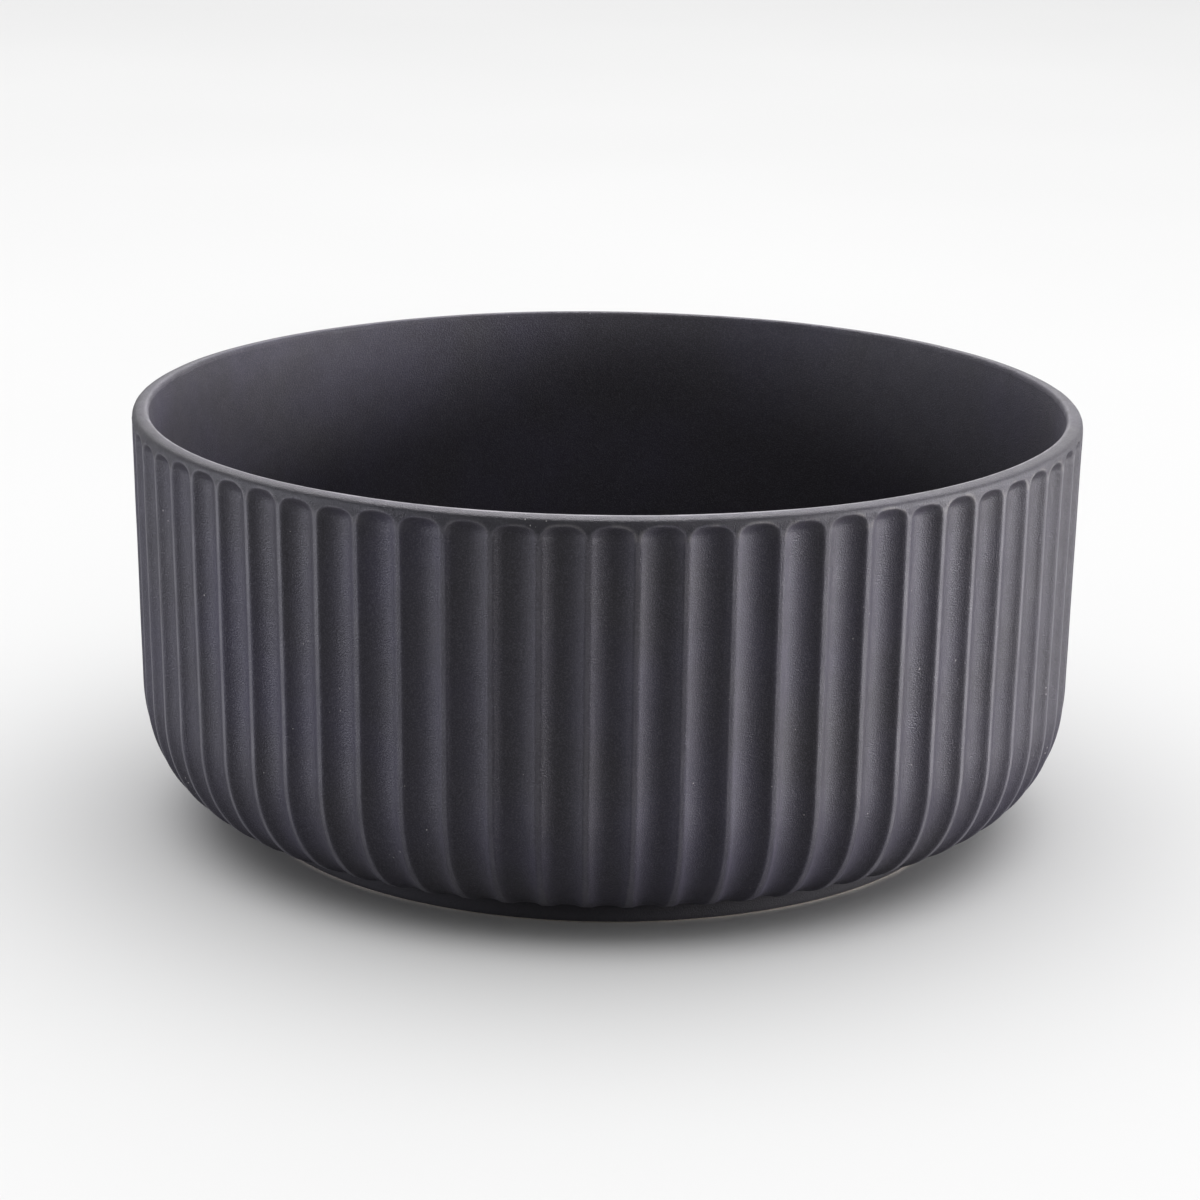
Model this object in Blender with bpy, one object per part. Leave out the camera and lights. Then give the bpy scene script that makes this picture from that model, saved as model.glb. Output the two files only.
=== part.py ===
"""Fluted ceramic candle jar, empty: a clay body and the glaze coats fused to it.

Units are metres. The origin is the centre of the foot ring on the surface it stands on,
and +Z runs up through the open mouth.
"""

import math

import bpy

# Driving dimensions of the finished, glazed jar
JAR_RADIUS = 0.075              # over the flute ridges, just under the rim
JAR_HEIGHT = 0.067              # foot ring to rim crest
FLUTE_COUNT = 68
FLUTE_DEPTH = 0.0011            # ridge to groove, measured radially
FLUTE_PHASE = math.radians(3.44)    # first ridge, turned from -Y towards +X
GLAZE = 0.0004                  # thickness of every glaze coat
GAP = 0.0003                    # clearance that keeps touching pieces apart

# Outside wall and shoulder
WALL_TOP = 0.0652               # height where the flutes start to run out
WALL_BOTTOM = 0.0248            # height where the shoulder starts
WALL_DRAFT = 0.0193             # inward lean of the wall, radius over height
SHOULDER_REACH = 0.0170         # radial half axis of the shoulder curve
SHOULDER_DROP = 0.0204          # vertical half axis of the shoulder curve
SHOULDER_POWER = 2.30           # 2 is an ellipse, more is squarer
FLUTE_END = 0.0046              # height where the flutes run out, under the shoulder
SHOULDER_BANDS = 6

# Foot ring that stands under the shoulder, and recess under the floor
FOOT_JOIN = (0.0580, 0.0044)    # radius and height where the shoulder meets the foot
FOOT_NECK = (0.0567, 0.0036)
FOOT_RADIUS = 0.0563
FOOT_INNER_RADIUS = 0.0515
GLAZE_LINE = 0.0010             # lower edge of the outer coat, above the bare ring
RECESS_RADIUS = 0.0513
RECESS_DEPTH = 0.0024
RING_CHAMFER = 0.0004

# Rim
RIM_SHOULDER = (0.0748, 0.0661)     # radius, height
RIM_LAND_OUTER = 0.0739
RIM_LAND_INNER = 0.0729
RIM_SEAM_OUTER = (0.07245, 0.06667)
RIM_SEAM_INNER = (0.07215, 0.06625)

# Wax cavity
LIP_UNDER = (0.0715, 0.0652)
CAVITY_NECK = (0.0709, 0.0580)
CAVITY_WALL_RADIUS = 0.0700
CAVITY_CURVE_TOP = 0.0270
FLOOR_RADIUS = 0.0500
FLOOR_HEIGHT = 0.0072
CAVITY_BANDS = 4

# Facets: a ridge edge and the two edges of the groove floor for every flute
FLUTE_SHARES = (0.0, 1.0, 1.0)

GLAZE_COLOR = (0.062, 0.059, 0.070, 1.0)
CLAY_COLOR = (0.42, 0.38, 0.33, 1.0)


def remove_everything():
    for item in list(bpy.data.objects):
        bpy.data.objects.remove(item, do_unlink=True)


def principled(name, color, roughness):
    material = bpy.data.materials.new(name)
    material.use_nodes = True
    shader = material.node_tree.nodes["Principled BSDF"]
    shader.inputs["Base Color"].default_value = color
    shader.inputs["Roughness"].default_value = roughness
    shader.inputs["Metallic"].default_value = 0.0
    return material


def wall_radius(height):
    return JAR_RADIUS - WALL_DRAFT * (WALL_TOP - height)


def shoulder_point(angle):
    """A point on the shoulder, from the wall (0) round to its flat underside (pi / 2)."""
    power = 2.0 / SHOULDER_POWER
    radius = wall_radius(WALL_BOTTOM) - SHOULDER_REACH * (1.0 - math.cos(angle) ** power)
    height = WALL_BOTTOM - SHOULDER_DROP * math.sin(angle) ** power
    return radius, height


def shoulder_points():
    """Stations from the end of the flutes up to the top of the shoulder."""
    drop = (WALL_BOTTOM - FLUTE_END) / SHOULDER_DROP
    last_angle = math.asin(drop ** (SHOULDER_POWER / 2.0))
    steps = range(SHOULDER_BANDS, -1, -1)
    return [shoulder_point(last_angle * step / SHOULDER_BANDS) for step in steps]


def foot_points():
    """The foot ring's side, from the glaze line up to the underside of the shoulder."""
    return [(FOOT_RADIUS, GLAZE_LINE), FOOT_NECK, FOOT_JOIN]


def cavity_points():
    """The wax cavity from just under the lip to the edge of the flat floor."""
    points = [RIM_SEAM_INNER, LIP_UNDER, CAVITY_NECK]
    for step in range(CAVITY_BANDS + 1):
        angle = 0.5 * math.pi * step / CAVITY_BANDS
        radius = FLOOR_RADIUS + (CAVITY_WALL_RADIUS - FLOOR_RADIUS) * math.cos(angle)
        height = CAVITY_CURVE_TOP - (CAVITY_CURVE_TOP - FLOOR_HEIGHT) * math.sin(angle)
        points.append((radius, height))
    return points


def glazed_outline():
    """The jar's glazed surface as (radius, height, fluted), foot to rim to floor."""
    plain = [(r, z, False) for r, z in foot_points()]
    fluted = [(r, z, True) for r, z in shoulder_points()]
    fluted.append((JAR_RADIUS, WALL_TOP, True))
    rim = [
        RIM_SHOULDER,
        (RIM_LAND_OUTER, JAR_HEIGHT),
        (RIM_LAND_INNER, JAR_HEIGHT),
        RIM_SEAM_OUTER,
    ]
    outside = plain + fluted + [(r, z, False) for r, z in rim]
    inside = [(r, z, False) for r, z in cavity_points()]
    return outside, inside


def sunk(outline, depth):
    """The outline moved into the clay by a depth, with mitred corners."""
    moved = []
    for index, (radius, height, fluted) in enumerate(outline):
        before = outline[max(index - 1, 0)]
        after = outline[min(index + 1, len(outline) - 1)]
        normals = []
        for start, end in ((before, (radius, height)), ((radius, height), after)):
            run = end[0] - start[0]
            rise = end[1] - start[1]
            length = math.hypot(run, rise)
            if length > 0.0:
                normals.append((-rise / length, run / length))
        across = sum(normal[0] for normal in normals) / len(normals)
        along = sum(normal[1] for normal in normals) / len(normals)
        stretch = depth / (across * across + along * along)
        moved.append((radius + across * stretch, height + along * stretch, fluted))
    return moved


def ring(radius, height, fluted):
    """Corners of one horizontal ring; a plain ring has one corner at each ridge."""
    shares = FLUTE_SHARES if fluted else FLUTE_SHARES[:1]
    count = FLUTE_COUNT * len(shares)
    corners = []
    for index in range(count):
        angle = FLUTE_PHASE + 2.0 * math.pi * index / count
        reach = radius - FLUTE_DEPTH * shares[index % len(shares)]
        corners.append((reach * math.sin(angle), -reach * math.cos(angle), height))
    return corners


def band_faces(lower, upper):
    """Faces between two rings of corner numbers, which may differ in fineness."""
    if len(lower) == len(upper):
        count = len(lower)
        return [
            (lower[i], lower[(i + 1) % count], upper[(i + 1) % count], upper[i])
            for i in range(count)
        ]
    if len(lower) > len(upper):
        return [tuple(reversed(face)) for face in band_faces(upper, lower)]
    faces = []
    fineness = len(upper) // len(lower)
    middle = fineness // 2
    for index, corner in enumerate(lower):
        following = lower[(index + 1) % len(lower)]
        first = index * fineness
        fine = [upper[(first + step) % len(upper)] for step in range(fineness + 1)]
        for step in range(fineness):
            apex = corner if step <= middle else following
            faces.append((apex, fine[step + 1], fine[step]))
        faces.append((corner, following, fine[middle + 1]))
    return faces


def turned(name, outline, material, closed):
    """A solid made of rings: a closed loop of them, or a run with both ends filled."""
    vertices = []
    rings = []
    for radius, height, fluted in outline:
        corners = ring(radius, height, fluted)
        rings.append(list(range(len(vertices), len(vertices) + len(corners))))
        vertices.extend(corners)
    faces = []
    pairs = list(zip(rings, rings[1:]))
    if closed:
        pairs.append((rings[-1], rings[0]))
    else:
        faces.append(tuple(reversed(rings[0])))
        faces.append(tuple(rings[-1]))
    for lower, upper in pairs:
        faces.extend(band_faces(lower, upper))
    mesh = bpy.data.meshes.new(name)
    mesh.from_pydata(vertices, [], faces)
    mesh.shade_smooth()
    mesh.set_sharp_from_angle(angle=math.radians(30.0))
    mesh.materials.append(material)
    piece = bpy.data.objects.new(name, mesh)
    bpy.context.scene.collection.objects.link(piece)
    return piece


def coat(name, surface, back, material):
    """A glaze coat between its visible surface and its back against the clay."""
    return turned(name, surface + list(reversed(back)), material, closed=True)


def floor_disc(name, surface, back, material):
    """The cavity lining: filled across the floor on both its faces."""
    outline = list(reversed(back)) + surface
    return turned(name, outline, material, closed=False)


def bare_foot():
    """The unglazed clay under the outer coat, from the recess out to the shelf."""
    shelf = GLAZE_LINE - GAP
    shelf_radius = FOOT_RADIUS - 0.25 * GLAZE
    backed_radius = FOOT_RADIUS - GLAZE - GAP
    stations = [
        (RECESS_RADIUS, RECESS_DEPTH),
        (FOOT_INNER_RADIUS, 0.0),
        (shelf_radius - RING_CHAMFER, 0.0),
        (shelf_radius, RING_CHAMFER),
        (shelf_radius, shelf),
        (backed_radius, shelf),
    ]
    return [(radius, height, False) for radius, height in stations]


def build_jar():
    glaze = principled("matte_charcoal_glaze", GLAZE_COLOR, 0.55)
    clay = principled("bare_stoneware", CLAY_COLOR, 0.9)
    outside, inside = glazed_outline()
    surface = outside + inside
    coat_back = sunk(surface, GLAZE)
    clay_face = sunk(surface, GLAZE + GAP)
    split = len(outside)

    turned("stoneware_body", bare_foot() + clay_face[1:], clay, closed=False)
    coat("outer_glaze", outside, coat_back[:split], glaze)
    floor_disc("inner_glaze", inside, coat_back[split:], glaze)

    disc_radius = RECESS_RADIUS - GAP
    disc_top = RECESS_DEPTH - GAP
    disc = [(disc_radius, disc_top - GLAZE, False), (disc_radius, disc_top, False)]
    turned("underside_glaze", disc, glaze, closed=False)


remove_everything()
build_jar()
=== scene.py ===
"""Looks for the fluted ceramic candle jar: a matte charcoal glaze over a clay body.

Shapes are in millimetres, turned about the jar's axis. They repeat the CAD part's outline
and add what its facets leave out: rounded ridges, arched flute tops, a rounded rim and the
Masks painted on the outer coat say where its glaze is thin, where painted shade, light and
highlights go and where the foot darkens, and the coat's material mixes its tones by them.
"""

import math
from collections import namedtuple

import bpy
import numpy as np
from mathutils import Matrix, Vector


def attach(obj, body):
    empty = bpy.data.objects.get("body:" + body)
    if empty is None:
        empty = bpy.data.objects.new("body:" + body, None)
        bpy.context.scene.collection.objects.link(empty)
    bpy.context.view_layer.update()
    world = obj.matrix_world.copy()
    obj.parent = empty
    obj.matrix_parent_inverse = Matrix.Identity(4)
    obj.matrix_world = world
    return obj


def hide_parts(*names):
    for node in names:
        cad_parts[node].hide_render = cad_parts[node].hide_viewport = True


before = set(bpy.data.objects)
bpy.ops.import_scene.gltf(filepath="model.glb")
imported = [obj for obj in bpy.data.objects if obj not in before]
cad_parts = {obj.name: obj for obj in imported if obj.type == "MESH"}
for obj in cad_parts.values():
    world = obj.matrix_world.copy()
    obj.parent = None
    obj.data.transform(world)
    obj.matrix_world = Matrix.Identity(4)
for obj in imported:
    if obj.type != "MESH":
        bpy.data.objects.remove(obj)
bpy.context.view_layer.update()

MM = 0.001
TURN = 2 * math.pi
rng = np.random.default_rng(68)

# ---------------------------------------------------------------- jar dimensions, in mm
FLUTES = 68
FLUTE_PHASE = math.radians(3.44)    # first ridge, turned from -Y towards +X
FLUTE_DEPTH = 1.35
FLUTE_FILL = 0.9235                 # groove width as a share of the pitch
GROOVE_SLOPE = math.radians(47.0)   # how steep a groove's side gets
RIDGE_FILLET = 0.175                # rounding of the ridges, as a share of half a groove
WALL_TOP_RADIUS = 74.90
WALL_TOP = 65.2
WALL_DRAFT = 0.0193                 # inward lean of the wall, radius over height
SHOULDER_TOP = 24.8
SHOULDER_REACH = 17.0
SHOULDER_DROP = 20.4
SHOULDER_POWER = 2.30               # 2 is an ellipse, more is squarer
SHOULDER_START = 0.955              # where the shoulder's rings start, 1 is its underside
FLUTE_FADE = (0.01, 0.18)           # the flutes run out as the shoulder turns this far under
FLUTE_FADE_POWER = 0.15
ARCH_BASE = 63.60                   # height where the arched flute tops start
ARCH_RISE = 2.15
ARCH_POWER = 2.5                    # 2 is an ellipse, more is squarer
ARCH_ZONE_LOW = 61.8                # rings follow the arches between these two heights
ARCH_ZONE_HIGH = 66.1
ARCH_MARGIN = 0.18                  # least distance from an arch to the top of its zone
RIM_CURVE_FROM = 62.2               # height where the wall passes into the rim's curve
RIM_CORNER_HIGH = 66.5              # top of the stretch where the rim's radius follows height
RIM_LEVEL = 66.0                    # everything on the rim is above this height
FOOT_TOP = 4.3                      # height where the foot meets the shoulder's underside
COAT = 0.35                         # glaze thickness
CLAY_INSET = 0.40                   # clay face below the glazed face
WALL_SHRINK = 0.05                  # keeps the uneven wall inside the CAD box
WALL_UNEVEN = (0.030, 0.010)        # slow and quick waves in the wall
RIM_UNEVEN = 0.035
RIM_UNEVEN_FROM = (66.1, 66.7)      # the rim's waves set in between these heights
ARCH_UNEVEN = 0.035
LINING_UNEVEN = 0.03
DISC_UNEVEN = 0.05
FOOT_UNEVEN = 0.0003                # as a share of the foot's radius

# Rim, from the wall round the crest to the lip where the inner coat starts
RIM_CURVE = [
    (74.86, 62.0), (74.88, 63.3), (74.89, 64.4), (74.89, 65.20), (74.87, 65.65),
    (74.81, 66.00), (74.70, 66.30), (74.50, 66.53), (74.18, 66.69), (73.68, 66.83),
    (73.15, 66.92), (72.75, 66.92), (72.53, 66.80), (72.39, 66.58), (72.30, 66.34),
    (72.24, 66.05),
]
# Wax cavity, from under the lip down to the neck of the wall, then round to the floor
CAVITY_CURVE = [
    (72.22, 66.2), (72.16, 65.9), (71.98, 65.2), (71.68, 63.8), (71.32, 61.0),
    (70.95, 56.0), (70.45, 45.0), (70.10, 34.0), (70.00, 27.0),
]
FLOOR_RADIUS = 50.0
FLOOR_HEIGHT = 7.2
FLOOR_DISH = 0.12                   # dip of the floor at its centre
FLOOR_RINGS = (45.0, 38.0, 30.0, 22.0, 14.0, 7.0, 2.0)
# Foot, from the glaze line up to the flat underside of the shoulder
FOOT_CURVE = [
    (56.02, 0.32), (56.20, 0.36), (56.30, 0.55), (56.33, 1.2), (56.42, 2.2), (56.56, 3.0),
    (56.82, 3.65), (57.25, 4.08), (57.80, 4.31), (58.45, 4.385),
]
# Bare ring that the jar stands on, from the recess out to the glaze line
BARE_RING = [
    (51.35, 2.42), (51.35, 1.0), (51.45, 0.45), (51.75, 0.13), (52.3, 0.02), (53.2, 0.0),
    (54.6, 0.0), (55.4, 0.02), (55.85, 0.14), (56.0, 0.30),
]
# Glazed disc in the recess, from its lower middle round the edge to its upper middle
UNDERSIDE_DISC = [
    (2.0, 2.05), (12.0, 2.05), (24.0, 2.04), (34.0, 2.02), (44.0, 2.0), (50.1, 1.98),
    (50.7, 2.0), (50.98, 2.06), (51.05, 2.18), (50.95, 2.30), (50.6, 2.37), (2.0, 2.37),
]

# Where the glaze's tones and its painted light and shade change, in mm
LIP_LINE = (72.78, 0.37)            # the painted highlight line's outer edge at the back, and its growth
LIP_LINE_SOFT = 0.10
SPANDREL_SHADE_RADII = (73.4, 74.2)           # painted shade sets in between these radii
BROW_LIGHT_HEIGHTS = (ARCH_BASE - 0.8, ARCH_BASE + 0.6)
EDGE_HIGH = ARCH_BASE + 1.0         # top of the pale lines on the flutes' edges
FOOT_HEIGHTS = (5.0, FOOT_TOP)      # the foot's colour turns near black down between these

# Points on each curve between two of its given points
RIM_STEPS = 24
FOOT_STEPS = 8
CAVITY_STEPS = 10

# Where the mesh has its columns over half a flute, and how many rings each stretch has
HALF_FLUTE = [0.0, 0.17, 0.33, 0.48, 0.61, 0.72, 0.81, 0.885, 0.945, 1.0]
HALF_FLUTE_COARSE = [0.0, 0.33, 0.61, 0.81, 0.945, 1.0]
RingCounts = namedtuple("RingCounts", "foot shoulder wall arch rim")
FINE = RingCounts(foot=12, shoulder=34, wall=16, arch=14, rim=15)
COARSE = RingCounts(foot=8, shoulder=15, wall=6, arch=7, rim=9)
ARCH_EASE = 1.6                     # above 1, rings crowd towards the arch's edge
ABOVE_ARCH = (0.2, 0.45, 0.72, 1.0)     # rings between an arch and the top of its zone
BACK_STEP = 3                       # the coat's back has every third ring of its face
CAVITY_WALL_RINGS = 30
CAVITY_CORNER_RINGS = 25
LINING_COLUMNS = 360
DISC_COLUMNS = 240
SHARP_ANGLE = math.radians(55.0)


# ---------------------------------------------------------------- curves and waves
def smooth_curve(points, steps):
    """Catmull-Rom curve through (radius, height) points, as an array."""
    pts = np.array(points, float)
    pts = np.vstack([2 * pts[0] - pts[1], pts, 2 * pts[-1] - pts[-2]])
    out = []
    for i in range(1, len(pts) - 2):
        a, b, c, d = pts[i - 1:i + 3]
        for t in np.linspace(0.0, 1.0, steps, endpoint=False):
            out.append(0.5 * (2 * b + (c - a) * t + (2 * a - 5 * b + 4 * c - d) * t ** 2
                              + (3 * b - a - 3 * c + d) * t ** 3))
    out.append(pts[-2])
    return np.array(out)


def resample(curve, count):
    """The curve at evenly spaced stations."""
    length = np.r_[0.0, np.cumsum(np.hypot(*np.diff(curve, axis=0).T))]
    at = np.linspace(0.0, length[-1], count)
    return np.stack([np.interp(at, length, curve[:, k]) for k in (0, 1)], 1)


def waves(count, around, up):
    """A smooth uneven field over angle and height, about -1 to 1."""
    turns = rng.integers(1, around + 1, count)
    lifts = rng.uniform(-up, up, count)
    phases = rng.uniform(0.0, TURN, count)

    def field(angle, height):
        total = 0.0
        for m, k, p in zip(turns, lifts, phases):
            total = total + np.sin(m * angle + k * height + p)
        return total / math.sqrt(count)
    return field


def smoothstep(low, high, value):
    """0 at low, 1 at high and smooth between them; low may be the larger."""
    t = np.clip((value - low) / (high - low), 0.0, 1.0)
    return t * t * (3.0 - 2.0 * t)


def front(angle):
    """1 on the side that faces the camera, 0 at the back."""
    return 0.5 + 0.5 * np.cos(angle)


def groove(place):
    """Depth of a flute, 1 in the middle and 0 from place 1 on, with rounded edges."""
    arc = 1.0 / math.sin(GROOVE_SLOPE) - RIDGE_FILLET
    place = np.clip(np.abs(place), 0.0, 1.0)
    full = (arc + RIDGE_FILLET) * (1.0 - math.cos(GROOVE_SLOPE))
    inner = full - (arc - np.sqrt(np.maximum(arc ** 2 - place ** 2, 0.0)))
    edge = RIDGE_FILLET - np.sqrt(np.maximum(RIDGE_FILLET ** 2 - (1.0 - place) ** 2, 0.0))
    return np.where(place < arc * math.sin(GROOVE_SLOPE), inner, edge) / full


# ---------------------------------------------------------------- meshes
def grid_mesh(name, points, masks=None, close_rows=False, caps=False):
    """A tube of rings, joined end to end or capped. points is rows x columns x 3 in mm."""
    rows, cols = points.shape[:2]
    verts = points.reshape(-1, 3) * MM
    i = np.arange(rows if close_rows else rows - 1)[:, None]
    j = np.arange(cols)[None, :]
    a = (i % rows) * cols + j
    b = (i % rows) * cols + (j + 1) % cols
    c = ((i + 1) % rows) * cols + (j + 1) % cols
    d = ((i + 1) % rows) * cols + j
    faces = np.stack(np.broadcast_arrays(a, b, c, d), -1).reshape(-1, 4).tolist()
    if caps:
        middles = []
        for row in (0, rows - 1):
            centre = len(verts) + len(middles)
            middles.append([0.0, 0.0, float((points[row] * MM)[:, 2].mean())])
            for k in range(cols):
                one, two = row * cols + k, row * cols + (k + 1) % cols
                faces.append([centre, two, one] if row == 0 else [centre, one, two])
        verts = np.vstack([verts, np.array(middles)])
    mesh = bpy.data.meshes.new(name)
    mesh.from_pydata(verts.tolist(), [], faces)
    for key, values in (masks or {}).items():
        layer = mesh.attributes.new(key, "FLOAT", "POINT")
        layer.data.foreach_set("value", values.reshape(-1).astype(np.float32))
    mesh.shade_smooth()
    mesh.set_sharp_from_angle(angle=SHARP_ANGLE)
    mesh.update()
    piece = bpy.data.objects.new(name, mesh)
    bpy.context.scene.collection.objects.link(piece)
    return piece


def on_circle(radius, angle, height):
    """Points at a radius and a height, turned from -Y towards +X by an angle."""
    return np.stack([radius * np.sin(angle), -radius * np.cos(angle), height], -1)


def turn(profile, angles, swell=None):
    """Rings from a (radius, height) profile; swell(angle, height) moves the radius."""
    radius = np.repeat(profile[:, :1], len(angles), 1)
    height = np.repeat(profile[:, 1:], len(angles), 1)
    turned_angles = np.repeat(angles[None, :], len(profile), 0)
    if swell is not None:
        radius = radius + swell(turned_angles, height)
    return on_circle(radius, turned_angles, height)


def normals_of(points):
    """Unit normals away from the clay, for rings that run up outside or down inside."""
    along = np.gradient(points, axis=0)
    around = np.roll(points, -1, 1) - np.roll(points, 1, 1)
    n = np.cross(around, along)
    return n / np.maximum(np.linalg.norm(n, axis=-1, keepdims=True), 1e-12)


# ---------------------------------------------------------------- the fluted outside
rim_dense = smooth_curve(RIM_CURVE, RIM_STEPS)
rim_monotone = rim_dense[rim_dense[:, 1] < RIM_CORNER_HIGH]
rim_monotone = rim_monotone[:np.argmax(rim_monotone[:, 1]) + 1]

# Random draws for the outside, which stay in this order
arch_lift = rng.normal(0.0, 0.10, FLUTES)
arch_rise = ARCH_RISE * (1.0 + rng.normal(0.0, 0.05, FLUTES))
arch_lean = rng.normal(0.0, 0.07, FLUTES)
arch_wave = waves(7, 300, 2.0)
wall_wave = waves(9, 24, 0.20)
cast_wave = waves(9, 120, 0.8)
rim_wave = waves(5, 9, 0.0)
ridge_wave = waves(6, 90, 0.30)
# small beads of glaze on the arch edges: flute, place across it, height, width
BEADS = 46
beads = [(int(rng.integers(0, FLUTES)), rng.uniform(-0.9, 0.9), rng.uniform(0.05, 0.12),
          rng.uniform(0.25, 0.5)) for _ in range(BEADS)]
BEAD_LIFT = 0.1                     # how far above the arch a bead sits


def wall_radius(height):
    """Radius of the drafted wall over its ridges."""
    return WALL_TOP_RADIUS - WALL_DRAFT * (WALL_TOP - height)


def flute_angles(half):
    """Each column's angle, its place across its flute from -1 to 1, and its flute."""
    shares = np.array([-u for u in half[-2:0:-1]] + list(half))
    centres = FLUTE_PHASE + (np.arange(FLUTES) + 0.5) * TURN / FLUTES
    angle = centres[:, None] + shares[None, :] * math.pi / FLUTES
    return angle.reshape(-1), np.tile(shares, FLUTES), np.repeat(np.arange(FLUTES), len(shares))


def arch_outline(across):
    """Height of an arch over its base, 1 in the middle and 0 at its feet."""
    return np.maximum(1.0 - across ** ARCH_POWER, 0.0) ** (1.0 / ARCH_POWER)


def arch_edges(angle, share, flute):
    """Every column's arch: the height of its base, its rise, and the height of its edge."""
    across = np.abs(share) / FLUTE_FILL
    base = ARCH_BASE + arch_lift[flute]
    rise = arch_rise[flute]
    uneven = arch_lean[flute] * share + ARCH_UNEVEN * arch_wave(angle, 0.0)
    edge = base + rise * arch_outline(across) + np.where(across < 1.0, uneven, 0.0)
    return base, rise, np.minimum(edge, ARCH_ZONE_HIGH - ARCH_MARGIN)


# A ring is its radius, its height, and how deep and how wide its flutes are, up to 1
def foot_rings(count):
    """Plain rings from the glaze line up the foot to the underside of the shoulder."""
    return [(r, z, 0.0, 0.0) for r, z in resample(smooth_curve(FOOT_CURVE, FOOT_STEPS), count)]


def shoulder_rings(count):
    """Rings up round the shoulder. The flutes grow as it turns from facing down to out."""
    reach = wall_radius(SHOULDER_TOP) - SHOULDER_REACH
    power = 2.0 / SHOULDER_POWER
    rings = []
    for t in np.linspace(0.0, 1.0, count):
        angle = 0.5 * math.pi * (SHOULDER_START - SHOULDER_START * t)
        x, y = math.cos(angle) ** power, math.sin(angle) ** power
        normal_out = x ** (SHOULDER_POWER - 1.0) / SHOULDER_REACH
        normal_down = y ** (SHOULDER_POWER - 1.0) / SHOULDER_DROP
        facing_out = normal_out / math.hypot(normal_out, normal_down)
        deep = facing_out ** FLUTE_FADE_POWER * float(smoothstep(*FLUTE_FADE, facing_out))
        wide = max(facing_out, 0.02) ** FLUTE_FADE_POWER
        rings.append((reach + SHOULDER_REACH * x, SHOULDER_TOP - SHOULDER_DROP * y, deep, wide))
    return rings


def wall_rings(count):
    """Rings up the drafted wall, to where the arches' zone starts."""
    heights = np.linspace(SHOULDER_TOP, ARCH_ZONE_LOW, count + 1)[1:-1]
    return [(wall_radius(z), z, 1.0, 1.0) for z in heights]


def arch_rings(count, edge):
    """Rings that bend to the arches' edges, then level out at the rim's corner."""
    climb = 1.0 - (1.0 - np.linspace(0.0, 1.0, count + 1)) ** ARCH_EASE
    levels = [ARCH_ZONE_LOW + (edge - ARCH_ZONE_LOW) * t for t in climb]
    levels += [edge + (ARCH_ZONE_HIGH - edge) * t for t in ABOVE_ARCH]
    rings = []
    for z in levels:
        rim_radius = np.interp(z, rim_monotone[:, 1], rim_monotone[:, 0])
        radius = np.where(z < RIM_CURVE_FROM, wall_radius(z), rim_radius)
        rings.append((radius, z, 1.0, 1.0))
    return rings


def rim_rings(count):
    """Plain rings from the rim's corner over its crest to the lip."""
    above = np.argmax(rim_dense[:, 1] > ARCH_ZONE_HIGH)
    return [(r, z, 0.0, 0.0) for r, z in resample(rim_dense[above:], count)[1:]]


def bead_bumps(angles, height):
    """How far the glaze beads on the arch edges stand out."""
    mm_around = angles * WALL_TOP_RADIUS
    total = np.zeros_like(height)
    for flute, place, tall, size in beads:
        at = FLUTE_PHASE + (flute + 0.5 + 0.5 * place) * TURN / FLUTES
        across = min(abs(place) / FLUTE_FILL, 1.0)
        top = ARCH_BASE + ARCH_RISE * arch_outline(across) + BEAD_LIFT
        apart = (mm_around - at * WALL_TOP_RADIUS) ** 2 + (height - top) ** 2
        total += tall * np.exp(-apart / size ** 2)
    return total


def glaze_masks(angles, radius, height, place, fluted):
    """Where the glaze is thin, where painted shade and highlights go and where the foot darkens, from
    0 to 1. place is 1 at a flute's edge.
    """
    above_base = height > ARCH_BASE
    below_rim = height <= ARCH_ZONE_HIGH
    side = np.sin(angles)

    ridge = smoothstep(0.72, 1.02, place) * fluted * (0.8 + 0.2 * ridge_wave(angles, height))
    arch = np.where(above_base, np.exp(-((place - 1.0) / 0.09) ** 2), 0.0)
    # ridge edges are pale where the glaze thins, with a painted highlight that is strongest on the
    # left and right
    edge = smoothstep(0.97, 1.0, place) * fluted * (height < EDGE_HIGH)
    edge = edge * (0.4 + 0.6 * smoothstep(0.25, 0.70, np.abs(side)))
    # the lip's painted highlight line is widest and strongest at the front
    lip_edge = LIP_LINE[0] + LIP_LINE[1] * front(angles) ** 6
    lip = (1.0 - smoothstep(lip_edge, lip_edge + LIP_LINE_SOFT, radius)) * (height > RIM_LEVEL)
    lip = lip * front(angles) ** 2
    # painted shade between the arches and the rim, least on the +X side
    spandrel_shade = smoothstep(1.0, 1.10, place) * above_base * smoothstep(*SPANDREL_SHADE_RADII, radius)
    spandrel_shade = spandrel_shade * (1.0 - smoothstep(0.20, 0.65, side))
    # painted light inside the flutes' upper ends, where they turn down
    brow_light = smoothstep(0.35, 0.90, place) * (place < 1.0)
    brow_light = brow_light * smoothstep(*BROW_LIGHT_HEIGHTS, height)
    low = smoothstep(*FOOT_HEIGHTS, height)
    masks = {
        "ridge": ridge * below_rim, "arch": arch, "edge": edge, "lip": lip,
        "spandrel_shade": spandrel_shade, "brow_light": brow_light * (height < ARCH_ZONE_HIGH), "low": low,
    }
    return {key: np.clip(values, 0.0, 1.0) for key, values in masks.items()}


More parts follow.
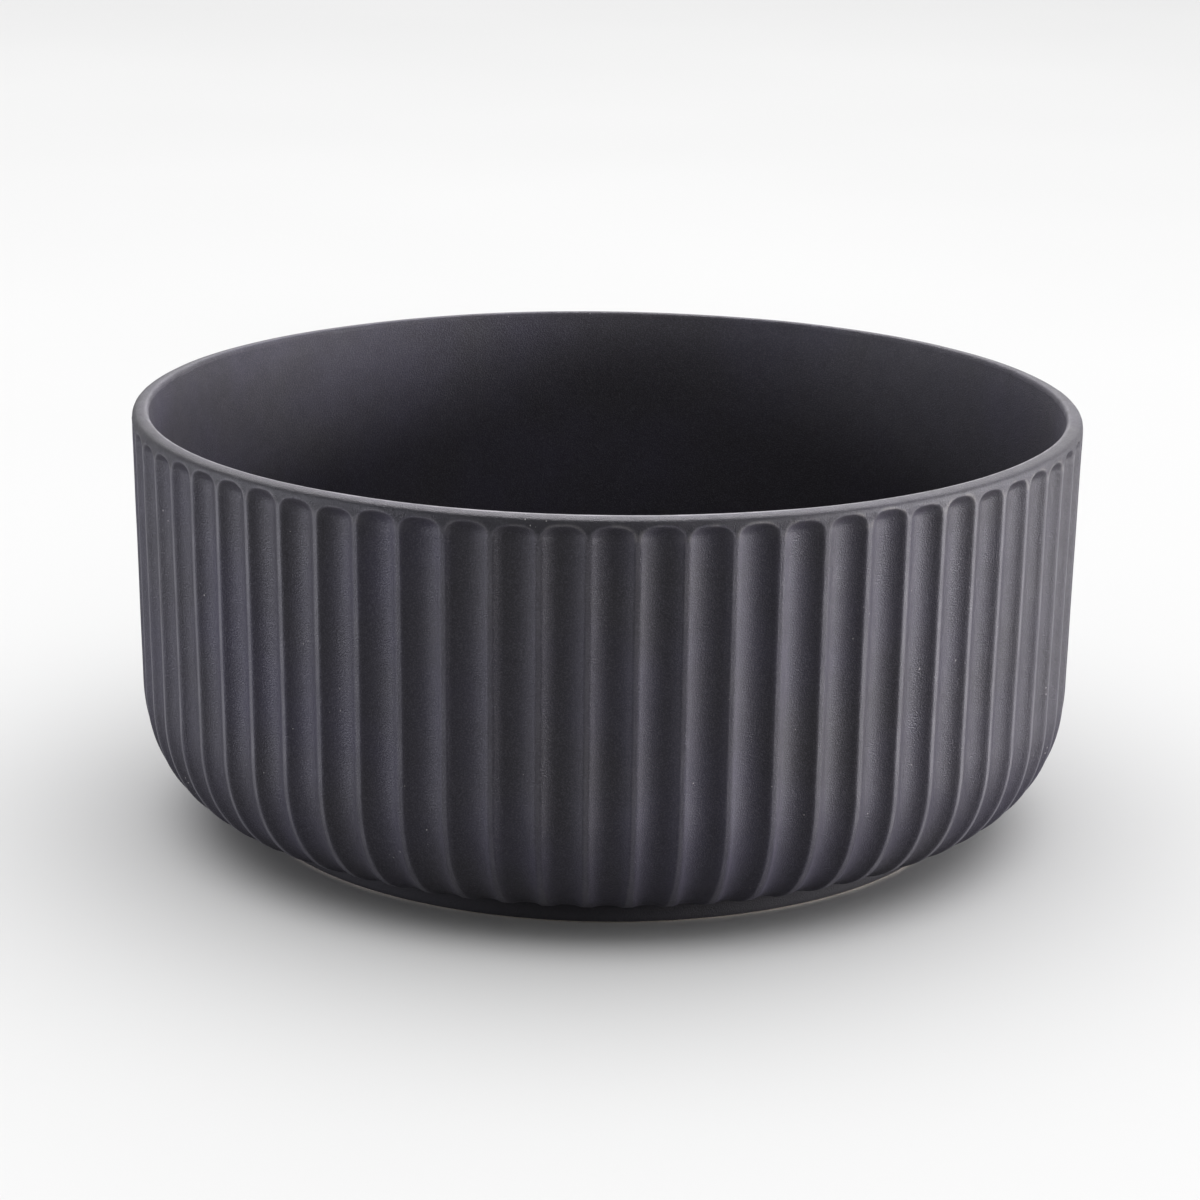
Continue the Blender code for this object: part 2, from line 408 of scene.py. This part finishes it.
def outer_surface(half, counts):
    """Rings of the glazed outside, from the glaze line to the lip, and their masks."""
    angle, share, flute = flute_angles(half)
    base, rise, edge = arch_edges(angle, share, flute)
    rings = foot_rings(counts.foot) + shoulder_rings(counts.shoulder) + wall_rings(counts.wall)
    rings += arch_rings(counts.arch, edge) + rim_rings(counts.rim)
    radius = np.array([np.broadcast_to(r, angle.shape) for r, _, _, _ in rings])
    height = np.array([np.broadcast_to(z, angle.shape) for _, z, _, _ in rings])
    deep = np.array([d for _, _, d, _ in rings])[:, None]
    wide = np.array([w for _, _, _, w in rings])[:, None]
    angles = np.repeat(angle[None, :], len(rings), 0)

    # place in the flute: 0 along its middle, 1 at its edge, arch included
    across = np.abs(share)[None, :] / (FLUTE_FILL * np.maximum(wide, 0.05))
    up = np.maximum(height - base[None, :], 0.0) / rise[None, :]
    place = (across ** ARCH_POWER + up ** ARCH_POWER) ** (1.0 / ARCH_POWER)
    # above the arch the grid's own edge curve, with its wobble, decides where the flute ends
    past = (height - edge[None, :]) > 1e-6
    place = np.where(past & (height > ARCH_BASE), np.maximum(place, 1.0), place)
    depth = np.where(deep > 0.0, groove(place), 0.0) * deep * FLUTE_DEPTH
    radius = radius - depth * radius / WALL_TOP_RADIUS + bead_bumps(angles, height)

    above_foot = smoothstep(FOOT_TOP, 7.0, height)
    slow, quick = WALL_UNEVEN
    uneven = slow * wall_wave(angles, height) + quick * cast_wave(angles, height)
    radius = radius + above_foot * uneven - WALL_SHRINK * above_foot
    on_rim = smoothstep(*RIM_UNEVEN_FROM, height)
    height = height + on_rim * RIM_UNEVEN * rim_wave(angles, height)
    masks = glaze_masks(angles, radius, height, place, deep > 0.0)
    return on_circle(radius, angles, height), masks


def outer_glaze():
    """The outer coat: its painted face, and a back with fewer rings."""
    points, masks = outer_surface(HALF_FLUTE, FINE)
    picks = list(range(0, len(points), BACK_STEP))
    if picks[-1] != len(points) - 1:
        picks.append(len(points) - 1)
    back = (points - normals_of(points) * COAT)[picks][::-1]
    shell = np.concatenate([points, back])
    unpainted = np.zeros(back.shape[:2])
    masks = {key: np.concatenate([values, unpainted]) for key, values in masks.items()}
    return grid_mesh("outer_glaze_coat", shell, masks, close_rows=True)


# ---------------------------------------------------------------- the cavity lining
def cavity_profile():
    """The cavity from under the lip down the wall, round the corner and over the floor."""
    wall = resample(smooth_curve(CAVITY_CURVE, CAVITY_STEPS), CAVITY_WALL_RINGS)
    neck_radius, neck_height = CAVITY_CURVE[-1]
    t = np.linspace(0.0, 0.5 * math.pi, CAVITY_CORNER_RINGS + 1)[1:]
    corner = np.stack([
        FLOOR_RADIUS + (neck_radius - FLOOR_RADIUS) * np.cos(t),
        neck_height - (neck_height - FLOOR_HEIGHT) * np.sin(t),
    ], 1)
    dished_floor = np.array([(r, FLOOR_HEIGHT - FLOOR_DISH * (1.0 - (r / FLOOR_RADIUS) ** 2))
                             for r in FLOOR_RINGS])
    return np.vstack([wall, corner, dished_floor])


def inner_glaze():
    """The lining of the wax cavity, with its back against the clay."""
    angles = np.linspace(0.0, TURN, LINING_COLUMNS, endpoint=False)
    uneven = waves(7, 7, 0.15)

    def swell(angle, height):
        return LINING_UNEVEN * uneven(angle, height) * smoothstep(66.0, 60.0, height)
    surface = turn(cavity_profile(), angles, swell)
    back = (surface - normals_of(surface) * COAT)[::-1]
    return grid_mesh("inner_glaze_lining", np.concatenate([back, surface]), caps=True)


# ---------------------------------------------------------------- clay and underside
def clay_body():
    """The clay under the glaze. It stops short of the lip's last rings, inside and out."""
    glazed, _ = outer_surface(HALF_FLUTE_COARSE, COARSE)
    angle, _, _ = flute_angles(HALF_FLUTE_COARSE)
    outside = (glazed - normals_of(glazed) * CLAY_INSET)[:-2]
    lining = turn(cavity_profile()[3::2], angle)
    inside = lining - normals_of(lining) * CLAY_INSET
    uneven = waves(8, 60, 0.0)
    bare_ring = turn(np.array(BARE_RING), angle)
    bare_ring[..., 0:2] *= 1.0 + FOOT_UNEVEN * uneven(angle, 0.0)[None, :, None]
    shell = np.concatenate([bare_ring, outside, inside])
    return grid_mesh("stoneware_clay_body", shell, caps=True)


def underside_glaze():
    """The glazed disc in the recess inside the bare ring."""
    angles = np.linspace(0.0, TURN, DISC_COLUMNS, endpoint=False)
    uneven = waves(6, 14, 0.0)

    def swell(angle, height):
        return DISC_UNEVEN * uneven(angle, height)
    return grid_mesh("underside_glaze_disc", turn(np.array(UNDERSIDE_DISC), angles, swell), caps=True)


# ---------------------------------------------------------------- materials
class Graph:
    """Short calls for building a tree of nodes over one kind of coordinates."""

    def __init__(self, tree, coordinates):
        self.tree = tree
        self.where = tree.nodes.new("ShaderNodeTexCoord").outputs[coordinates]

    def put(self, socket, value):
        if isinstance(value, bpy.types.NodeSocket):
            self.tree.links.new(value, socket)
        else:
            socket.default_value = value

    def noise(self, scale, detail=3.0, roughness=0.5):
        node = self.tree.nodes.new("ShaderNodeTexNoise")
        node.inputs["Scale"].default_value = scale
        node.inputs["Detail"].default_value = detail
        node.inputs["Roughness"].default_value = roughness
        self.tree.links.new(self.where, node.inputs["Vector"])
        return node.outputs["Fac"]

    def cells(self, scale, out, stretch=None):
        """A Voronoi texture's distance or colour; stretch scales the coordinates first."""
        node = self.tree.nodes.new("ShaderNodeTexVoronoi")
        node.inputs["Scale"].default_value = scale
        vector = self.where
        if stretch is not None:
            mapping = self.tree.nodes.new("ShaderNodeMapping")
            mapping.inputs["Scale"].default_value = stretch
            self.tree.links.new(self.where, mapping.inputs["Vector"])
            vector = mapping.outputs["Vector"]
        self.tree.links.new(vector, node.inputs["Vector"])
        return node.outputs[out]

    def span(self, value, low, high, to_low=0.0, to_high=1.0):
        """A smooth ramp of a value from low to high."""
        node = self.tree.nodes.new("ShaderNodeMapRange")
        node.interpolation_type = "SMOOTHSTEP"
        self.put(node.inputs["Value"], value)
        ends = {"From Min": low, "From Max": high, "To Min": to_low, "To Max": to_high}
        for key, number in ends.items():
            node.inputs[key].default_value = number
        return node.outputs["Result"]

    def math(self, kind, one, two):
        node = self.tree.nodes.new("ShaderNodeMath")
        node.operation = kind
        self.put(node.inputs[0], one)
        self.put(node.inputs[1], two)
        return node.outputs[0]

    def times(self, one, two):
        return self.math("MULTIPLY", one, two)

    def mix(self, share, one, two):
        """A mix of two colours, all of the second where share is 1."""
        node = self.tree.nodes.new("ShaderNodeMix")
        node.data_type = "RGBA"
        self.put(node.inputs[0], share)
        self.put(node.inputs[6], one)
        self.put(node.inputs[7], two)
        return node.outputs[2]

    def mask(self, name):
        node = self.tree.nodes.new("ShaderNodeAttribute")
        node.attribute_name = name
        return node.outputs["Fac"]

    def channel(self, vector, axis):
        node = self.tree.nodes.new("ShaderNodeSeparateXYZ")
        self.put(node.inputs[0], vector)
        return node.outputs[axis]

    def bump(self, height, strength, distance, after=None):
        node = self.tree.nodes.new("ShaderNodeBump")
        node.inputs["Strength"].default_value = strength
        node.inputs["Distance"].default_value = distance
        self.tree.links.new(height, node.inputs["Height"])
        if after is not None:
            self.tree.links.new(after, node.inputs["Normal"])
        return node.outputs["Normal"]


def new_material(name):
    """A material, the graph of its nodes, and its shader."""
    material = bpy.data.materials.new(name)
    material.use_nodes = True
    shader = material.node_tree.nodes["Principled BSDF"]
    return material, Graph(material.node_tree, "Object"), shader


# Glaze tones, and the painted light and shade mixed into them
DARK = (0.0235, 0.0218, 0.0280, 1.0)
VIOLET = (0.029, 0.026, 0.045, 1.0)
# painted light on the +X side, towards the right softbox
LIT_SIDE_WARM = (0.031, 0.029, 0.031, 1.0)
SHADE = (DARK[0] * 0.72, DARK[1] * 0.72, DARK[2] * 0.74, 1.0)
GRAIN = (0.085, 0.080, 0.098, 1.0)
ON_FOOT = (0.006, 0.0055, 0.007, 1.0)
# painted shade under the rim, between the arches
SPANDREL_SHADE = (0.007, 0.0065, 0.010, 1.0)
# thin glaze on the ridges, and the painted highlight on their edges
THIN_GLAZE_AND_SHEEN = (0.150, 0.146, 0.158, 1.0)
# painted light in the flutes' upper ends
BROW_PAINTED_LIGHT = (0.085, 0.081, 0.092, 1.0)
# pale glaze breaking over the arch edges, and a painted highlight
ARCH_PALE_AND_HIGHLIGHT = (0.165, 0.157, 0.150, 1.0)
# painted highlight along the inner lip
LIP_HIGHLIGHT = (0.42, 0.405, 0.43, 1.0)
SPECK = (0.42, 0.40, 0.39, 1.0)
OUTSIDE_ROUGHNESS = (0.40, 0.50)
INSIDE_ROUGHNESS = (0.50, 0.60)
FOOT_ROUGHNESS = 0.80
GLAZE_IOR = 1.42
JAR_RADIUS = 0.075                  # in metres, like all sizes in materials

# Clay tones
CLAY_PALE = (0.46, 0.41, 0.35, 1.0)
CLAY_DEEP = (0.36, 0.32, 0.28, 1.0)
CLAY_GRAIN = (0.22, 0.19, 0.165, 1.0)
CLAY_SAND = (0.13, 0.10, 0.085, 1.0)


def painted_tones(n, color, side):
    """The outer coat's thin glaze, its painted highlights and its painted light, mixed in by its
    masks.
    """
    ridge = n.times(n.mask("ridge"), n.span(n.noise(130.0, 3.0), 0.3, 0.7, 0.25, 0.75))
    color = n.mix(n.times(ridge, 0.05), color, THIN_GLAZE_AND_SHEEN)
    # painted light in the flutes' upper ends
    color = n.mix(n.times(n.mask("brow_light"), 0.32), color, BROW_PAINTED_LIGHT)
    # thin glaze on the ridge edges, with a painted highlight
    edge = n.times(n.mask("edge"), n.span(n.noise(170.0, 2.0), 0.3, 0.7, 0.5, 1.0))
    color = n.mix(n.times(edge, 0.55), color, THIN_GLAZE_AND_SHEEN)
    # pale glaze breaking over the arch edges, with a painted highlight that grows towards the +X side
    arch = n.times(n.mask("arch"), n.span(n.noise(420.0, 3.0), 0.40, 0.62))
    color = n.mix(n.times(arch, n.span(side, 0.3, 1.0, 0.20, 0.55)), color, ARCH_PALE_AND_HIGHLIGHT)
    # the lip's pale line is a painted highlight
    lip = n.times(n.mask("lip"), n.span(n.noise(300.0, 2.0), 0.3, 0.7, 0.4, 1.0))
    return n.mix(n.times(lip, 0.62), color, LIP_HIGHLIGHT)


def speckled(n, color):
    """Pale specks: a few lone dots, and crowds of smaller ones in patches."""
    chosen = n.channel(n.cells(620.0, "Color"), "X")
    dot = n.times(n.span(n.cells(620.0, "Distance"), 0.065, 0.035), n.span(chosen, 0.940, 0.945))
    tall_cells = (1.0, 1.0, 0.6)
    picked = n.channel(n.cells(1700.0, "Color", tall_cells), "Y")
    small = n.span(n.cells(1700.0, "Distance", tall_cells), 0.20, 0.10)
    crowd = n.times(small, n.span(picked, 0.66, 0.72))
    patches = n.span(n.noise(110.0, 1.0, 0.5), 0.67, 0.71)
    speck = n.math("MAXIMUM", dot, n.times(crowd, patches))
    return n.mix(n.times(speck, 0.75), color, SPECK)


def matte_glaze(name, painted, specks, roughness=OUTSIDE_ROUGHNESS):
    """Matte charcoal glaze. painted is for the outer coat, which carries the masks."""
    material, n, shader = new_material(name)
    side = n.span(n.channel(n.where, "X"), -JAR_RADIUS, JAR_RADIUS)
    mottle = n.noise(240.0, 4.0, 0.6)
    grain = n.noise(4600.0, 2.0, 0.7)
    color = n.mix(n.span(n.noise(38.0, 3.0), 0.35, 0.68), DARK, VIOLET)
    # painted light: the +X side, towards the right softbox, is lighter and warmer
    color = n.mix(n.times(side, 0.35), color, LIT_SIDE_WARM)
    color = n.mix(n.span(mottle, 0.3, 0.75, 0.0, 0.35), color, SHADE)
    color = n.mix(n.span(grain, 0.42, 0.70, 0.0, 0.50), color, GRAIN)
    rough = n.span(mottle, 0.25, 0.8, *roughness)
    if painted:
        # the foot is mixed near black and made rougher towards the bottom
        low = n.mask("low")
        color = n.mix(n.times(low, 0.88), color, ON_FOOT)
        # painted shade between the arches and the rim
        color = n.mix(n.times(n.mask("spandrel_shade"), 0.75), color, SPANDREL_SHADE)
        color = painted_tones(n, color, side)
        rough = n.math("MAXIMUM", rough, n.times(low, FOOT_ROUGHNESS))
    if specks:
        color = speckled(n, color)
    n.put(shader.inputs["Base Color"], color)
    n.put(shader.inputs["Roughness"], rough)
    shader.inputs["IOR"].default_value = GLAZE_IOR
    shader.inputs["Specular IOR Level"].default_value = 0.5
    soft = n.bump(n.noise(700.0, 3.0, 0.55), 0.22, 0.00012)
    fine = n.bump(grain, 1.0, 0.00012, soft)
    pinholes = n.span(n.cells(1500.0, "Distance"), 0.0, 0.10)
    n.put(shader.inputs["Normal"], n.bump(pinholes, 0.12, 0.00004, fine))
    return material


def bare_clay(name):
    """Unglazed fired clay with fine grain and a few sand specks."""
    material, n, shader = new_material(name)
    clouds = n.noise(60.0, 4.0, 0.6)
    grain = n.noise(3600.0, 3.0, 0.7)
    color = n.mix(n.span(clouds, 0.3, 0.7), CLAY_PALE, CLAY_DEEP)
    color = n.mix(n.span(grain, 0.55, 0.7, 0.0, 0.6), color, CLAY_GRAIN)
    sand = n.span(n.cells(1400.0, "Distance"), 0.20, 0.08)
    picked = n.span(n.channel(n.cells(1400.0, "Color"), "X"), 0.80, 0.86)
    color = n.mix(n.times(sand, picked), color, CLAY_SAND)
    n.put(shader.inputs["Base Color"], color)
    n.put(shader.inputs["Roughness"], n.span(clouds, 0.2, 0.8, 0.82, 0.95))
    rough_face = n.bump(n.noise(900.0, 4.0, 0.65), 0.5, 0.00025)
    n.put(shader.inputs["Normal"], n.bump(grain, 0.5, 0.00008, rough_face))
    return material


def studio_floor():
    """Pale where it is looked at, and darker in what it bounces onto the jar."""
    material, n, shader = new_material("pale_floor")
    looked_at = n.tree.nodes.new("ShaderNodeLightPath").outputs["Is Camera Ray"]
    pale = n.mix(n.span(n.noise(3.0, 2.0), 0.3, 0.7), (0.77, 0.77, 0.77, 1.0), (0.79, 0.79, 0.79, 1.0))
    n.put(shader.inputs["Base Color"], n.mix(looked_at, (0.38, 0.38, 0.39, 1.0), pale))
    shader.inputs["Roughness"].default_value = 0.9
    shader.inputs["Specular IOR Level"].default_value = 0.1
    return material


# ---------------------------------------------------------------- put the jar together
outer_material = matte_glaze("matte_charcoal_glaze_outside", painted=True, specks=True)
inner_material = matte_glaze("matte_charcoal_glaze_inside", painted=False, specks=False,
                             roughness=INSIDE_ROUGHNESS)
under_material = matte_glaze("matte_charcoal_glaze_underside", painted=False, specks=True)
clay_material = bare_clay("bare_stoneware_clay")

jar = bpy.data.collections.new("jar")
for build, node, slot_name, material in (
    (outer_glaze, "outer_glaze", "outer_matte_glaze", outer_material),
    (inner_glaze, "inner_glaze", "inner_matte_glaze", inner_material),
    (underside_glaze, "underside_glaze", "underside_matte_glaze", under_material),
    (clay_body, "stoneware_body", "bare_stoneware", clay_material),
):
    piece = build()
    piece.data.materials.append(material)
    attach(piece, "root")
    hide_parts(node)
    jar.objects.link(piece)

# ---------------------------------------------------------------- floor, light and camera
# Sizes and places are in metres from here on
FLOOR_CORNERS = [(-6, -6, 0), (6, -6, 0), (6, 6, 0), (-6, 6, 0)]
floor_mesh = bpy.data.meshes.new("studio_floor")
floor_mesh.from_pydata(FLOOR_CORNERS, [], [(0, 1, 2, 3)])
floor = bpy.data.objects.new("studio_floor", floor_mesh)
floor_mesh.materials.append(studio_floor())
bpy.context.scene.collection.objects.link(floor)
ground = bpy.data.collections.new("ground")
ground.objects.link(floor)

JAR_MIDDLE = (0.0, 0.0, 0.035)
SIDE_SIZE = (0.50, 0.25)


def softbox(name, place, size, watts, receivers, color=(1.0, 1.0, 1.0), aim=JAR_MIDDLE):
    """A soft light that falls only on the pieces in its receivers collection."""
    light = bpy.data.lights.new(name, "AREA")
    light.shape = "RECTANGLE"
    light.size, light.size_y = size
    light.energy = watts
    light.color = color
    lamp = bpy.data.objects.new(name, light)
    lamp.location = place
    lamp.visible_camera = False
    lamp.light_linking.receiver_collection = receivers
    lamp.rotation_euler = (Vector(aim) - Vector(place)).to_track_quat("-Z", "Y").to_euler()
    bpy.context.scene.collection.objects.link(lamp)


softbox("right_softbox", (0.79, -0.12, 0.10), SIDE_SIZE, 13.0, jar, (0.98, 0.96, 1.0))
softbox("left_softbox", (-0.79, -0.12, 0.10), SIDE_SIZE, 5.6, jar, (0.90, 0.90, 1.0))
softbox("overhead_softbox", (0.0, 0.50, 0.80), (0.60, 0.30), 11.0, jar, (0.97, 0.94, 1.0))
softbox("floor_softbox", (0.0, 0.0, 1.60), (2.5, 2.5), 24.0, ground, aim=(0.0, 0.0, 0.0))

# The world is brightest just above the horizon behind the jar, and dimmer to the left
world = bpy.data.worlds.new("studio")
world.use_nodes = True
bpy.context.scene.world = world
sky = Graph(world.node_tree, "Generated")
background = world.node_tree.nodes["Background"]


def sky_ramp(axis, low, high, start, end):
    """A ramp along one axis of the direction looked in."""
    return sky.span(sky.channel(sky.where, axis), low, high, start, end)


backdrop = sky.times(sky_ramp("Y", 0.35, 0.90, 0.0, 0.8), sky_ramp("Z", 0.30, 0.75, 1.0, 0.30))
ceiling = sky.times(sky_ramp("Z", 0.20, 0.85, 0.60, 1.00), sky_ramp("Y", -0.70, 0.10, 0.85, 1.0))
lit = sky.math("ADD", backdrop, ceiling)
background.inputs["Color"].default_value = (1.0, 1.0, 1.0, 1.0)
sky.put(background.inputs["Strength"], sky.times(lit, sky_ramp("X", -0.90, 0.50, 0.50, 1.0)))

scene = bpy.context.scene
scene.view_settings.view_transform = "Standard"
scene.view_settings.look = "None"
scene.view_settings.exposure = 0.0
scene.view_settings.gamma = 1.0

# The photograph's camera, fitted to the rim, foot and flute ridges; angles in radians
CAMERA_DISTANCE = 0.57454
CAMERA_ELEVATION = 0.27615
CAMERA_ROLL = 0.012662
CAMERA_YAW = 0.001438
CAMERA_PITCH = -0.000617
TARGET_HEIGHT = 0.03375
FOCAL_PIXELS = 3567.7
FRAME_PIXELS = 1200.0
SENSOR = 36.0

ce, se = math.cos(CAMERA_ELEVATION), math.sin(CAMERA_ELEVATION)
right, up, forward = Vector((1, 0, 0)), Vector((0, se, ce)), Vector((0, ce, -se))


def swing(one, two, angle):
    """Turns a pair of axes by an angle in their own plane."""
    c, s = math.cos(angle), math.sin(angle)
    return c * one + s * two, c * two - s * one


right, forward = swing(right, forward, CAMERA_YAW)
up, forward = swing(up, forward, CAMERA_PITCH)
right, up = swing(right, up, CAMERA_ROLL)
camera_data = bpy.data.cameras.new("camera")
camera_data.sensor_width = SENSOR
camera_data.lens = FOCAL_PIXELS / FRAME_PIXELS * SENSOR
camera_data.clip_start = 0.01
camera = bpy.data.objects.new("camera", camera_data)
bpy.context.scene.collection.objects.link(camera)
pose = Matrix((right, up, -forward)).transposed().to_4x4()
pose.translation = Vector((0.0, -CAMERA_DISTANCE * ce, TARGET_HEIGHT + CAMERA_DISTANCE * se))
camera.matrix_world = pose
bpy.context.scene.camera = camera
